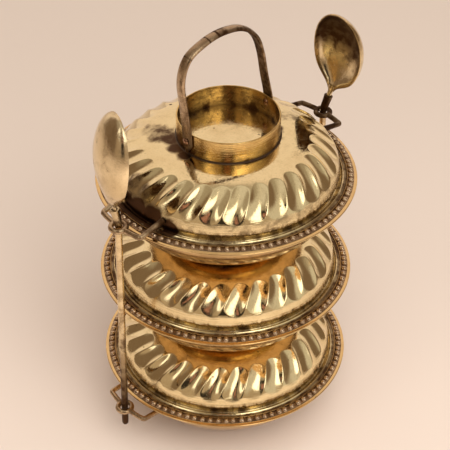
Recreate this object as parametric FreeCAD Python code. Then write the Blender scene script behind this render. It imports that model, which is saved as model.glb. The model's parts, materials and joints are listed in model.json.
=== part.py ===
"""Three-tier brass tiffin carrier, locked by two long-handled spoons.

Every tier is a round-bottomed bowl with a beaded flange and a domed lid that drops into the bowl's mouth.
The next bowl stands on the lid below it. The top lid carries a collar with a riveted arch handle, and two wire
brackets with an eye in each. Two more brackets are on the bottom bowl. A spoon's rod goes down through the upper
and the lower eye on each side, which locks the stack. All sizes are in millimetres, +Z is up, the origin is the
middle of the face that the carrier stands on, and the handle and the spoons are in the XZ plane.
"""

import FreeCAD, Part
import math
import os

from FreeCAD import Rotation, Vector

# ---- stack -------------------------------------------------------------------------------------------------
BEAD_RADIUS = 80.0            # circle on which the beads of a flange stand
BOWL_DEPTH = 45.7             # from the bead circle down to the foot of the same bowl
LID_RISE = 28.0               # from the bead circle up to the flat top of the lid
PITCH = BOWL_DEPTH + LID_RISE
TIERS = ("bottom", "middle", "top")
BEAD_PLANES = [BOWL_DEPTH + i * PITCH for i in range(3)]

# ---- bowl --------------------------------------------------------------------------------------------------
WALL = 1.2
BELLY_RADIUS = 75.0
BELLY_DEPTH = 43.0
BELLY_POWER = 2.35            # exponent of the belly's curve, fuller than an ellipse
FLANGE_TOP = -1.0             # heights below are from the bead plane of the bowl's own tier
FLANGE_UNDER = -2.3
FLANGE_RADIUS = 84.2
RIB_INNER = 77.2
RIB_OUTER = 78.0
RIB_TOP = 0.4
FOOT_OUTER = 31.5
FOOT_INNER = 29.5

# ---- beads -------------------------------------------------------------------------------------------------
BEAD_COUNT = 96
BEAD_SIZE = 2.05
BEAD_STRIP = (78.1, 81.9)
BEAD_STRIP_TOP = -0.4

# ---- lid ---------------------------------------------------------------------------------------------------
LID_WALL = 1.0
DOME_FLAT = 35.5              # radius of the flat top
DOME_WIDEST = 72.3
DOME_WIDEST_Z = 6.5
LID_RIM_RADIUS = 76.9
SEAT_INNER = 32.3
SEAT_OUTER = 33.8
SEAT_HEIGHT = 3.0

# ---- collar and handle -------------------------------------------------------------------------------------
COLLAR_X = 1.5                # the collar is soldered a little off the lid's centre
COLLAR_OUTER = 33.0
COLLAR_INNER = 31.9
COLLAR_HEIGHT = 15.0
SOLDER_LEG = 0.9
STRAP_THICK = 2.7
STRAP_WIDTH = 4.2
FOOT_WIDTH = 9.0
FOOT_FADE = 70.0              # height at which the widened foot has faded into the strap
RIVET_Z = 37.5
RIVET_RADIUS = 1.3
RIVET_HEAD_RADIUS = 2.4
RIVET_HEAD_HEIGHT = 1.2
# middle line of the strap, as X and height over the top tier's bead plane, from the left foot to the right one
STRAP_LINE = [
    (-32.5, 29.5), (-32.5, 42.0), (-34.9, 62.0), (-37.0, 82.0), (-31.7, 95.9), (-18.8, 102.2), (-5.0, 104.1),
    (10.4, 101.1), (22.2, 91.3), (27.8, 78.0), (31.5, 60.0), (35.5, 42.0), (35.5, 29.5),
]

# ---- brackets ----------------------------------------------------------------------------------------------
WIRE = 1.6                    # radius of the bracket wire
EYE_REACH = 90.8              # distance of the eyes from the carrier's axis
EYE_RADIUS = 4.7              # middle line of the eye's ring
BRACKET_HALF = 17.4
CORNER_REACH = 88.6
TOP_BRACKET_Z = 3.0           # over the top bead plane
TOP_BRACKET_RISE = 4.4        # the legs climb this much towards the dome
BOTTOM_BRACKET_Z = -7.8       # under the bottom bead plane
LEG_ROOT = 66.0               # the legs start inside the dome or the belly and are trimmed to its surface
LID_TURN = 2.2                # the top brackets sit this many degrees round from the bottom ones

# ---- rods and spoons ---------------------------------------------------------------------------------------
ROD_RADIUS = 2.25
ROD_TIP_Z = 22.0
TIP_TAPER = 1.2
SPIGOT_RADIUS = 1.2
SPIGOT_LENGTH = 2.5
SPIGOT_CLEARANCE = 0.05
JOINT_GAP = 0.3               # between a rod's shoulder and the socket that turns on it
SOCKET_LENGTH = 12.0
SOCKET_BASE_RADIUS = 2.5
SOCKET_TOP_RADIUS = 3.0
TANG_RADIUS = 1.7
TANG_DEPTH = 6.0
BOWL_LENGTH = 65.0
BOWL_WIDTH = 40.5
BOWL_HOLLOW = 12.0
BOWL_WALL = 1.1
# per spoon, all in degrees: the eye's direction from the axis, the turn of the bowl's back from that direction,
# the lean of the socket towards the bowl's back and sideways, and the bend from the socket back to the bowl;
# bowl_start is the distance from the eye to the bowl's lower end
SPOONS = {
    "left": {"side": 180.0, "turn": -18.0, "lean": 7.5, "sideways": 5.5, "bend": 14.0, "bowl_start": 12.8},
    "right": {"side": 0.0, "turn": 0.5, "lean": 12.5, "sideways": 10.0, "bend": 18.0, "bowl_start": 16.2},
}

Z = Vector(0, 0, 1)
ORIGIN = Vector(0, 0, 0)


def save(name, shape):
    """Write one sub-part, and say when it isn't a clean solid."""
    if not shape.isValid():
        print("invalid shape:", name)
    shape.exportStep(os.path.join("parts", name + ".step"))
    print(f"{name:28s} solids {len(shape.Solids)} volume {shape.Volume:10.1f}")


def lift(shape, height):
    """A copy of the shape, raised along Z."""
    moved = shape.copy()
    moved.translate(Vector(0, 0, height))
    return moved


def revolve(edges):
    """A solid turned about Z from a closed chain of edges in the XZ plane."""
    wire = Part.Wire(Part.__sortEdges__(edges))
    return Part.Face(wire).revolve(ORIGIN, Z, 360)


def line(a, b):
    """A straight edge between two (radius, height) points."""
    return Part.LineSegment(Vector(a[0], 0, a[1]), Vector(b[0], 0, b[1])).toShape()


def arc(a, mid, b):
    """A circular edge through three (radius, height) points."""
    return Part.Arc(Vector(a[0], 0, a[1]), Vector(mid[0], 0, mid[1]), Vector(b[0], 0, b[1])).toShape()


def spline(points):
    """A smooth edge through (radius, height) points."""
    curve = Part.BSplineCurve()
    curve.interpolate([Vector(x, 0, z) for x, z in points])
    return curve.toShape()


def polyline(points):
    """Straight edges through (radius, height) points."""
    return [line(a, b) for a, b in zip(points, points[1:])]


def ring(inner, outer, low, high):
    """A plain round ring about Z."""
    band = Part.makeCylinder(outer, high - low, Vector(0, 0, low))
    return band.cut(Part.makeCylinder(inner, high - low, Vector(0, 0, low)))


# ---- bowls -------------------------------------------------------------------------------------------------
def belly_curve(radius, depth, top):
    """Points of the belly from the axis up to the given height, along a superellipse."""
    points = []
    steps = 16
    top_angle = math.asin((-top / depth) ** (BELLY_POWER / 2))
    for i in range(steps + 1):
        angle = math.pi / 2 + (top_angle - math.pi / 2) * i / steps
        x = radius * max(math.cos(angle), 0.0) ** (2 / BELLY_POWER)
        z = -depth * math.sin(angle) ** (2 / BELLY_POWER)
        points.append((0.0 if i == 0 else x, z))
    return points


def belly_solid():
    """The full round body inside the belly's outer surface, for trimming what is soldered to it."""
    curve = belly_curve(BELLY_RADIUS, BELLY_DEPTH, FLANGE_UNDER)
    return revolve([spline(curve), line(curve[-1], (0, FLANGE_UNDER)), line((0, FLANGE_UNDER), curve[0])])


def bowl():
    """Spun bowl with its flange, the rib that holds the lid, and the rounded outer lip."""
    outer = belly_curve(BELLY_RADIUS, BELLY_DEPTH, FLANGE_UNDER)
    inner = belly_curve(BELLY_RADIUS - WALL, BELLY_DEPTH - WALL, FLANGE_TOP)
    flange = polyline([outer[-1], (83.6, FLANGE_UNDER)])
    flange.append(arc((83.6, FLANGE_UNDER), (FLANGE_RADIUS, -1.8), (83.6, -1.2)))
    flange += polyline([(83.6, -1.2), (82.0, -0.7), (82.0, FLANGE_TOP), (RIB_OUTER, FLANGE_TOP), (RIB_OUTER, 0.0)])
    flange.append(arc((RIB_OUTER, 0.0), ((RIB_OUTER + RIB_INNER) / 2, RIB_TOP), (RIB_INNER, 0.0)))
    flange += polyline([(RIB_INNER, 0.0), (RIB_INNER, FLANGE_TOP), inner[-1]])
    return revolve([spline(outer), *flange, spline(inner), line(inner[0], outer[0])])


def foot_ring(belly):
    """Standing ring under a bowl, trimmed to the belly."""
    return ring(FOOT_INNER, FOOT_OUTER, -BOWL_DEPTH, -BELLY_DEPTH * 0.85).cut(belly)


def bead_ring():
    """Beaded border strip: half-round beads on a flat strip."""
    strip = ring(BEAD_STRIP[0], BEAD_STRIP[1], FLANGE_TOP, BEAD_STRIP_TOP)
    ball = Part.makeSphere(BEAD_SIZE, Vector(BEAD_RADIUS, 0, BEAD_STRIP_TOP - 0.4))
    bead = ball.cut(Part.makeBox(10, 10, 10, Vector(BEAD_RADIUS - 5, -5, BEAD_STRIP_TOP - 10)))
    beads = []
    for i in range(BEAD_COUNT):
        turned = bead.copy()
        turned.rotate(ORIGIN, Z, 360.0 * i / BEAD_COUNT)
        beads.append(turned)
    return strip.multiFuse(beads)


# ---- lids --------------------------------------------------------------------------------------------------
def dome_curve(inset):
    """Quarter ellipse of the dome from its flat top to its widest point, moved in by the inset."""
    points = []
    steps = 12
    for i in range(steps + 1):
        angle = math.pi / 2 * (1 - i / steps)
        x = DOME_FLAT + (DOME_WIDEST - DOME_FLAT - inset) * math.cos(angle)
        z = DOME_WIDEST_Z + (LID_RISE - DOME_WIDEST_Z - inset) * math.sin(angle)
        points.append((x, z))
    return points


def dome_solid():
    """The full round body inside the lid's outer surface, for trimming what is soldered to it."""
    curve = dome_curve(0.0)
    top = (0, LID_RISE)
    base = (DOME_WIDEST, 0.0)
    return revolve([line(top, curve[0]), spline(curve), *polyline([curve[-1], base, (0, 0), top])])


def lid():
    """Domed lid: flat top, full shoulder, hollow channel at its base, raised lip and flat rim."""
    outer = dome_curve(0.0)
    inner = dome_curve(LID_WALL)
    edges = [line((0, LID_RISE), outer[0]), spline(outer)]
    edges.append(arc(outer[-1], (72.0, 3.3), (70.9, 0.6)))
    edges.append(arc((70.9, 0.6), (72.2, -1.6), (73.9, -0.1)))
    edges += polyline([(73.9, -0.1), (74.2, 0.4)])
    edges.append(arc((74.2, 0.4), (74.6, 0.7), (75.1, 0.2)))
    edges += polyline([(75.1, 0.2), (LID_RIM_RADIUS, -0.3), (LID_RIM_RADIUS, FLANGE_TOP), (73.4, FLANGE_TOP)])
    edges.append(arc((73.4, FLANGE_TOP), (72.0, -2.6), (70.0, 0.3)))
    edges.append(arc((70.0, 0.3), (71.0, 3.4), inner[-1]))
    edges += [spline(inner), line(inner[0], (0, LID_RISE - LID_WALL))]
    edges.append(line((0, LID_RISE - LID_WALL), (0, LID_RISE)))
    return revolve(edges)


def seat_ring():
    """Low ring on a lid, which the foot of the next bowl drops into."""
    return ring(SEAT_INNER, SEAT_OUTER, LID_RISE, LID_RISE + SEAT_HEIGHT)


# ---- collar and handle -------------------------------------------------------------------------------------
def rivet_hole(x_from, x_to):
    """A cylinder along X for a rivet's shank."""
    return Part.makeCylinder(RIVET_RADIUS, x_to - x_from, Vector(x_from, 0, RIVET_Z), Vector(1, 0, 0))


def collar():
    """Open collar on the top lid."""
    tube = ring(COLLAR_INNER, COLLAR_OUTER, LID_RISE, LID_RISE + COLLAR_HEIGHT)
    tube.translate(Vector(COLLAR_X, 0, 0))
    return tube.cut(rivet_hole(-60, 60))


def collar_solder():
    """Narrow solder fillet round the outside of the collar's base."""
    foot = (COLLAR_OUTER, LID_RISE)
    out = (COLLAR_OUTER + SOLDER_LEG, LID_RISE)
    top = (COLLAR_OUTER, LID_RISE + SOLDER_LEG)
    middle = (COLLAR_OUTER + 0.35 * SOLDER_LEG, LID_RISE + 0.35 * SOLDER_LEG)
    fillet = revolve(polyline([foot, out, middle, top, foot]))
    fillet.translate(Vector(COLLAR_X, 0, 0))
    return fillet


def offset_line(points, distance):
    """The points of an open line, each moved sideways by the distance."""
    moved = []
    for i, (x, z) in enumerate(points):
        before = points[max(i - 1, 0)]
        after = points[min(i + 1, len(points) - 1)]
        dx = after[0] - before[0]
        dz = after[1] - before[1]
        size = math.hypot(dx, dz)
        moved.append((x - dz / size * distance, z + dx / size * distance))
    return moved


def handle(solder, rivets):
    """Bent strap with widened feet, shaped to the collar, with seats for the rivet heads."""
    outside = offset_line(STRAP_LINE, STRAP_THICK / 2)
    inside = offset_line(STRAP_LINE, -STRAP_THICK / 2)
    ends = [line(outside[0], inside[0]), line(outside[-1], inside[-1])]
    face = Part.Face(Part.Wire(Part.__sortEdges__([spline(outside), spline(inside), *ends])))
    band = face.extrude(Vector(0, FOOT_WIDTH, 0))
    band.translate(Vector(0, -FOOT_WIDTH / 2, 0))
    low = LID_RISE + 1.5
    half_foot = FOOT_WIDTH / 2
    half_strap = STRAP_WIDTH / 2
    top = 110.0
    leaf = [
        (-half_strap / 2, low), (half_strap / 2, low), (half_foot, low + 6), (half_foot, LID_RISE + COLLAR_HEIGHT),
        (half_strap, FOOT_FADE), (half_strap, top), (-half_strap, top), (-half_strap, FOOT_FADE),
        (-half_foot, LID_RISE + COLLAR_HEIGHT), (-half_foot, low + 6), (-half_strap / 2, low),
    ]
    outline = Part.Face(Part.makePolygon([Vector(-60, y, z) for y, z in leaf])).extrude(Vector(120, 0, 0))
    below_rim = Part.makeCylinder(COLLAR_OUTER, COLLAR_HEIGHT + 5, Vector(COLLAR_X, 0, LID_RISE - 5))
    return band.common(outline).cut([below_rim, solder, *rivets])


def dome_head(radius, height):
    """A low round head standing on the plane Z = 0."""
    sphere = (radius * radius + height * height) / (2 * height)
    ball = Part.makeSphere(sphere, Vector(0, 0, height - sphere))
    return ball.common(Part.makeCylinder(radius * 1.1, height * 1.1))


def handle_rivet(sign):
    """Rivet through a foot of the strap and the collar, with a head at both ends."""
    inside_x = COLLAR_X + sign * COLLAR_INNER
    outside_x = sign * STRAP_THICK / 2 + (STRAP_LINE[-1][0] if sign > 0 else STRAP_LINE[0][0])
    low = min(inside_x, outside_x)
    high = max(inside_x, outside_x)
    shank = rivet_hole(low, high)
    head = dome_head(RIVET_HEAD_RADIUS, RIVET_HEAD_HEIGHT)
    ends = []
    for x, way in ((low, -1), (high, 1)):
        end = head.copy()
        end.Placement = FreeCAD.Placement(Vector(x, 0, RIVET_Z), Rotation(Z, Vector(way, 0, 0)))
        ends.append(end)
    rivet = shank.multiFuse(ends)
    bore = Part.makeCylinder(COLLAR_INNER, 20, Vector(COLLAR_X, 0, LID_RISE))
    wall = Part.makeCylinder(COLLAR_OUTER, 20, Vector(COLLAR_X, 0, LID_RISE)).cut(bore)
    return rivet.cut(wall.cut(rivet_hole(-60, 60)))


# ---- brackets ----------------------------------------------------------------------------------------------
def rod_between(a, b, radius):
    """A round bar from one point to another."""
    return Part.makeCylinder(radius, a.distanceToPoint(b), a, b - a)


def bracket(rise):
    """Bent wire bracket pointing along +X: two legs, two corners and an eye between them, at Z = 0."""
    pieces = [Part.makeTorus(EYE_RADIUS, WIRE, Vector(EYE_REACH, 0, 0))]
    for side in (-1, 1):
        near_eye = Vector(EYE_REACH - 0.4, side * EYE_RADIUS, 0)
        corner = Vector(CORNER_REACH, side * BRACKET_HALF, 0)
        slope = rise / 20.0
        root = Vector(LEG_ROOT, side * (BRACKET_HALF + 0.6), (CORNER_REACH - LEG_ROOT) * slope)
        pieces += [rod_between(near_eye, corner, WIRE), Part.makeSphere(WIRE, corner), rod_between(corner, root, WIRE)]
    hole = Part.makeCylinder(EYE_RADIUS - WIRE, 10, Vector(EYE_REACH, 0, -5))
    return pieces[0].multiFuse(pieces[1:]).cut(hole)


def turned_about_axis(shape, degrees):
    """A copy of the shape, turned about the carrier's axis."""
    copy = shape.copy()
    copy.rotate(ORIGIN, Z, degrees)
    return copy


# ---- rods and spoons ---------------------------------------------------------------------------------------
def eye_point(side, turn, height):
    """A point on an eye's axis."""
    angle = math.radians(side + turn)
    return Vector(EYE_REACH * math.cos(angle), EYE_REACH * math.sin(angle), height)


def rod_frame(side):
    """The shoulder point of a rod, on top of the upper eye, and the rod's direction."""
    low = eye_point(side, 0.0, BEAD_PLANES[0] + BOTTOM_BRACKET_Z)
    high = eye_point(side, LID_TURN, BEAD_PLANES[2] + TOP_BRACKET_Z)
    direction = (high - low).normalize()
    return high + direction * WIRE, direction


def rod(side):
    """Locking rod: a straight bar with a blunt tip, and a spigot on top that the spoon turns on."""
    shoulder, up = rod_frame(side)
    length = (shoulder.z - ROD_TIP_Z) / up.z
    bar = Part.makeCylinder(ROD_RADIUS, length - TIP_TAPER, ORIGIN)
    bar.translate(Vector(0, 0, TIP_TAPER - length))
    tip = Part.makeCone(ROD_RADIUS * 0.6, ROD_RADIUS, TIP_TAPER, Vector(0, 0, -length))
    spigot = Part.makeCylinder(SPIGOT_RADIUS, JOINT_GAP + SPIGOT_LENGTH, ORIGIN)
    whole = bar.multiFuse([tip, spigot])
    whole.Placement = FreeCAD.Placement(shoulder, Rotation(Z, up))
    return whole


def head_placement(name):
    """Placement of a spoon's socket: local Z runs up the socket, and local X points out of the bowl's back."""
    spoon = SPOONS[name]
    shoulder, up = rod_frame(spoon["side"])
    outward = Rotation(Z, spoon["side"] + LID_TURN + spoon["turn"])
    sideways = Rotation(Vector(1, 0, 0), spoon["sideways"])
    lean = Rotation(Vector(0, 1, 0), spoon["lean"])
    return FreeCAD.Placement(shoulder, outward.multiply(sideways).multiply(lean))


def bowl_placement(name):
    """Placement of a spoon's bowl: the origin is its lower end, and it is bent back from the socket."""
    spoon = SPOONS[name]
    start = FreeCAD.Placement(Vector(0, 0, spoon["bowl_start"]), Rotation(Vector(0, 1, 0), -spoon["bend"]))
    return head_placement(name).multiply(start)


def placed(shape, placement):
    """A copy of the shape, moved from its own frame to the placement."""
    copy = shape.copy()
    copy.Placement = placement
    return copy


def tang(name):
    """The spoon's round tang, from inside the socket up to the bowl."""
    low = SOCKET_LENGTH - TANG_DEPTH
    bar = Part.makeCylinder(TANG_RADIUS, SPOONS[name]["bowl_start"] + 1.5 - low, Vector(0, 0, low))
    return placed(bar, head_placement(name))


def socket(name):
    """Tapered socket on top of the rod, with a hole for the rod's spigot below and one for the tang above."""
    body = Part.makeCone(SOCKET_BASE_RADIUS, SOCKET_TOP_RADIUS, SOCKET_LENGTH + 2, Vector(0, 0, -2))
    body = body.cut(Part.makeBox(20, 20, 20, Vector(-10, -10, SOCKET_LENGTH)))
    body = placed(body, head_placement(name)).cut(tang(name))
    shoulder, up = rod_frame(SPOONS[name]["side"])
    space = Part.makeBox(80, 80, 80, Vector(-40, -40, JOINT_GAP))
    space = space.cut(Part.makeCylinder(SPIGOT_RADIUS + SPIGOT_CLEARANCE, JOINT_GAP + SPIGOT_LENGTH + 0.3, ORIGIN))
    return body.common(placed(space, FreeCAD.Placement(shoulder, Rotation(Z, up))))


def ellipsoid(along, across, out):
    """An ellipsoid with these half-sizes, standing on its lower end."""
    stretch = FreeCAD.Matrix()
    stretch.scale(out, across, along)
    return lift(Part.makeSphere(1.0, ORIGIN).transformGeometry(stretch), BOWL_LENGTH / 2)


def spoon_bowl(name):
    """Spoon's hollow bowl with its tang."""
    along = BOWL_LENGTH / 2
    across = BOWL_WIDTH / 2
    front = Part.makeBox(60, 90, 90, Vector(-60, -45, -10))
    outside = ellipsoid(along, across, BOWL_HOLLOW).cut(front)
    hollow = ellipsoid(along - BOWL_WALL, across - BOWL_WALL, BOWL_HOLLOW - BOWL_WALL)
    stem = tang(name).cut(placed(hollow, bowl_placement(name)))
    return placed(outside.cut(hollow), bowl_placement(name)).fuse(stem)


def build_tiers():
    """The parts that repeat on every tier."""
    bowl_shape = bowl()
    belly = belly_solid()
    feet = foot_ring(belly)
    beads = bead_ring()
    lid_shape = lid()
    for tier, height in zip(TIERS, BEAD_PLANES):
        save(tier + "_bowl", lift(bowl_shape, height))
        save(tier + "_foot_ring", lift(feet, height))
        save(tier + "_bead_ring", lift(beads, height))
        save(tier + "_lid", lift(lid_shape, height))
    for tier, height in zip(TIERS[:2], BEAD_PLANES):
        save(tier + "_seat_ring", lift(seat_ring(), height))


def build_top():
    """Collar, handle and rivets on the top lid."""
    height = BEAD_PLANES[2]
    solder = collar_solder()
    save("collar", lift(collar(), height))
    save("collar_solder", lift(solder, height))
    rivets = [handle_rivet(-1), handle_rivet(1)]
    save("handle", lift(handle(solder, rivets), height))
    save("handle_rivet_left", lift(rivets[0], height))
    save("handle_rivet_right", lift(rivets[1], height))


def build_brackets():
    """The four wire brackets, trimmed to the dome or the belly that they are soldered to."""
    top = lift(bracket(TOP_BRACKET_RISE), TOP_BRACKET_Z).cut(dome_solid())
    bottom = lift(bracket(0.0), BOTTOM_BRACKET_Z).cut(belly_solid())
    for name, spoon in SPOONS.items():
        upper = turned_about_axis(top, spoon["side"] + LID_TURN)
        lower = turned_about_axis(bottom, spoon["side"])
        save("top_bracket_" + name, lift(upper, BEAD_PLANES[2]))
        save("bottom_bracket_" + name, lift(lower, BEAD_PLANES[0]))


def build_spoons():
    """Both spoons with their rods."""
    for name, spoon in SPOONS.items():
        save(name + "_rod", rod(spoon["side"]))
        save(name + "_socket", socket(name))
        save(name + "_spoon_bowl", spoon_bowl(name))
        shoulder, up = rod_frame(spoon["side"])
        print(name, "rod shoulder", [round(v, 4) for v in shoulder], "direction", [round(v, 6) for v in up])


os.makedirs("parts", exist_ok=True)
build_tiers()
build_top()
build_brackets()
build_spoons()
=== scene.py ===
import json
import math

import bmesh
import bpy
import numpy as np
from mathutils import Matrix, Vector


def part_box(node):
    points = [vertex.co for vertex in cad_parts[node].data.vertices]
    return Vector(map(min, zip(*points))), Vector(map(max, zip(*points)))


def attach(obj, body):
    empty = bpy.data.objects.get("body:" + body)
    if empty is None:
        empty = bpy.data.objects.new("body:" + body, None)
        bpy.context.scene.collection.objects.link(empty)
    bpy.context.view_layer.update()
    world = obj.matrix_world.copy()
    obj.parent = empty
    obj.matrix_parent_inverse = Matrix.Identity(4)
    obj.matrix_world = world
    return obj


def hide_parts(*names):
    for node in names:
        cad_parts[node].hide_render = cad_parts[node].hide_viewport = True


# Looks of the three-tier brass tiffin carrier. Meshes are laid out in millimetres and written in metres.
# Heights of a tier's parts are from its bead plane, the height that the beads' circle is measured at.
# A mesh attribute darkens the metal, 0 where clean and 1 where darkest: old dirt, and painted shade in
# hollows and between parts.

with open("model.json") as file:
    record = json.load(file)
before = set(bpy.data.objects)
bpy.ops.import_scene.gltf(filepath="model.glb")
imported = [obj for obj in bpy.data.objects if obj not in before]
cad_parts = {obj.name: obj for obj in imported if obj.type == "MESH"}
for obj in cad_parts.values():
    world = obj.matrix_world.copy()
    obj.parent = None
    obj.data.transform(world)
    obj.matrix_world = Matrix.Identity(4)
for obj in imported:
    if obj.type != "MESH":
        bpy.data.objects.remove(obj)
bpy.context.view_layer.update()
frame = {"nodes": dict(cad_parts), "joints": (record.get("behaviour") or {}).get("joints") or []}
MM = 0.001
TIERS = ("bottom", "middle", "top")

# ---- sizes, in millimetres -------------------------------------------------------------------------------
# Down to ROD_RADIUS they are the solids' own.
LID_RISE = 28.0
DOME_FLAT = 35.5
DOME_WIDEST = 72.3
DOME_WIDEST_Z = 6.5
DOME_SIZE = (DOME_WIDEST - DOME_FLAT, LID_RISE - DOME_WIDEST_Z)    # half axes of the shoulder's ellipse
LID_WALL = 1.0
BELLY_RADIUS = 75.0
BELLY_DEPTH = 43.0
BELLY_POWER = 2.35
WALL = 1.2
FLANGE_TOP = -1.0
FLANGE_UNDER = -2.3
FLANGE_RADIUS = 84.2
RIB_INNER = 77.2
RIB_OUTER = 78.0
RIB_TOP = 0.4
BEAD_RADIUS = 80.0
BEAD_COUNT = 96
COLLAR_X = 1.5
COLLAR_INNER = 31.9
COLLAR_OUTER = 33.0
COLLAR_HEIGHT = 15.0
STRAP_LINE = [
    (-32.5, 29.5), (-32.5, 42.0), (-34.9, 62.0), (-37.0, 82.0), (-31.7, 95.9), (-18.8, 102.2), (-5.0, 104.1),
    (10.4, 101.1), (22.2, 91.3), (27.8, 78.0), (31.5, 60.0), (35.5, 42.0), (35.5, 29.5),
]
EYE_REACH = 90.8
EYE_RADIUS = 4.7
BRACKET_HALF = 17.4
CORNER_REACH = 88.6
TOP_BRACKET_Z = 3.0
TOP_BRACKET_RISE = 4.4
BOTTOM_BRACKET_Z = -7.8
LID_TURN = 2.2
BOWL_WIDTH = 40.5
BOWL_HOLLOW = 12.0
SOCKET_LENGTH = 12.0
ROD_RADIUS = 2.25
BEAD_SIZE = 2.08              # the solids' beads are 2.05
BEAD_LARGEST = 2.15
STRAP_HALF = 3.4              # half width of the strap between its feet; the solid has 2.1
STRAP_THICK = 1.6             # half thickness with the ridge; the solid has 1.35 and no ridge
STRAP_NOTCHES = (0.338, 0.432, 0.476)      # shares of the strap's length
STRAP_SOFTNESS = 0.35         # width of the bevel on its edges
WIRE = 1.75                   # radius of the bracket wire; the solids have 1.6
LEG_START = 70.5              # distance from the axis at which a bracket's legs start, inside the wall
BOWL_LENGTH = 63.0            # the solids' spoon bowls are 65 long
SPOONS = {                    # angles in degrees; a darkness darkens the bracket wire or the socket, and the right spoon's are darker
    "left": {
        "side": 180.0, "turn": -18.0, "lean": 7.5, "sideways": 5.5, "bend": 14.0, "bowl_start": 12.8,
        "bracket_darkness": 0.30, "socket_darkness": 0.25,
    },
    "right": {
        "side": 0.0, "turn": 0.5, "lean": 12.5, "sideways": 10.0, "bend": 18.0, "bowl_start": 16.2,
        "bracket_darkness": 0.75, "socket_darkness": 0.80,
    },
}
SPOON_COLUMNS = 40            # points from rim to rim across a spoon bowl's skin
SPOON_WALL = 0.9              # the solids have 1.1
SPOON_FULLNESS = (0.60, 0.48)              # exponents of a bowl's outline at its neck end and at its tip
BEAD_PLANES = {tier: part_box(tier + "_bowl")[1].z / MM - RIB_TOP for tier in TIERS}

# ---- ornament of the lids --------------------------------------------------------------------------------
FLUTES = {"top": 31, "middle": 30, "bottom": 30}
FLUTE_PHASE = {"top": -130.4, "middle": -129.6, "bottom": -130.0}  # degrees round of one flute's lower end
# Flute ends in degrees on the dome's quarter ellipse, 90 at the flat top and 0 at the widest point.
FLUTE_TOP = {"top": 63.0, "middle": 57.0, "bottom": 57.0}
FLUTE_BOTTOM = {"top": 12.0, "middle": 13.0, "bottom": 7.5}
# Length of a flute's rounded upper end over its half width.
FLUTE_FADE = {"top": 1.7, "middle": 1.0, "bottom": 1.0}
FLUTE_DEPTH = 1.75
FLUTE_SLANT = 9.5             # degrees round the lid from a flute's lower end to its upper end
FLUTE_FILL = 0.485            # half width of a flute over the pitch
FLUTE_SQUARE = 2.4            # 2 for round ends, more for squarer ones
FLUTE_PILL = 0.22             # share of the depth with steep ends; the rest is a trough
CALM_MIDDLE = 125.0           # degrees round of the side where the top lid's flutes are shallower
CALM_WIDTH = 36.0
CALM_SHARE = 0.65             # share of the depth that is missing in the middle of that side
BAND_TOP = 10.5               # heights of the plain band under the flutes
BAND_LOW = 3.4
CHATTER_DEPTH = 0.13          # depth of the tool marks on the band's lower edge
LID_SKIRT = 65.0              # the band and everything below it are outside this radius
THINNED = slice(None, None, -5)            # every fifth row, the last one first, for a lid's inner face
STAINS_AND_SHADE = [                    # the top lid's old stains and pits, and painted shade round the left bracket's legs: place from the bead plane, size, strength
    (-31.0, 27.0, 28.0, 10.0, 0.66), (-32.0, 37.0, 27.0, 8.0, 0.52), (-29.0, 18.0, 28.0, 8.0, 0.95),
    (-33.0, 9.0, 28.0, 7.0, 1.0), (-35.0, 0.0, 28.0, 5.5, 1.0), (46.0, -10.0, 27.0, 9.0, 0.42),
    # The six rows near x -70 are painted shade on the band and the lower flutes round the left bracket's
    # legs.
    (-71.5, 12.0, 3.0, 9.0, 1.35), (-72.0, 0.0, 4.0, 10.0, 1.35), (-71.0, -12.0, 5.0, 9.0, 1.35),
    (-68.0, -24.0, 2.0, 7.0, 1.3), (-68.0, 0.0, 17.0, 7.0, 0.62), (-66.0, 12.0, 18.0, 7.0, 0.62),
    (-2.9, 51.6, 25.8, 1.0, 1.2), (-38.9, 1.4, 28.0, 0.9, 1.2), (23.6, -27.8, 28.0, 0.8, 1.2),
    (4.1, -2.0, 28.0, 0.7, 1.2),
]

# ---- camera, in metres and degrees -----------------------------------------------------------------------
CAMERA_PLACE = Vector((-0.4849, -0.5386, 0.7242))
CAMERA_TARGET = Vector((0.0, 0.0, 0.1194))
CAMERA_LENS = 111.72
CAMERA_TILT = 1.352
CAMERA_PAN = 0.035
CAMERA_ROLL = 0.449

# ---- light -----------------------------------------------------------------------------------------------
LAMPS = [                     # place and width in metres and power in watts
    ((-0.48, -1.00, 2.50), 2.4, 41.0),
    ((-0.26, -0.50, 0.50), 0.5, 2.5),
]
SIDE_COLOUR = (0.20, 0.135, 0.088)
ROOM_TURN = 132.0             # the room's front is this many degrees clockwise from +X, seen from above
# Patches of the room. They are placed by degrees up and by degrees round from its front.
ROOM = [
    {"up": (46, 120), "soft": 8, "colour": (0.38, 0.32, 0.25)},
    {"up": (74, 120), "soft": 5, "colour": (0.66, 0.60, 0.53)},
    {"up": (-120, 66), "beyond": 128, "soft": 6, "colour": (0.85, 0.70, 0.59)},
    {"up": (-120, 40), "around": (-60, 60), "soft": 8, "colour": (0.45, 0.345, 0.25)},
    {"up": (-5, 75), "around": (46, 84), "soft": 8, "colour": (0.62, 0.56, 0.48)},
    {"up": (34, 72), "around": (17, 50), "soft": 5, "colour": (2.1, 2.0, 1.8)},
    {"up": (38, 68), "around": (-58, -38), "soft": 5, "colour": (1.6, 1.5, 1.35)},
    {"up": (5, 62), "around": (-15, 13), "soft": 2, "colour": (0.035, 0.028, 0.022)},
    {"up": (36, 54), "around": (-7, 6), "soft": 2, "colour": (0.42, 0.20, 0.15)},
]


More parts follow.
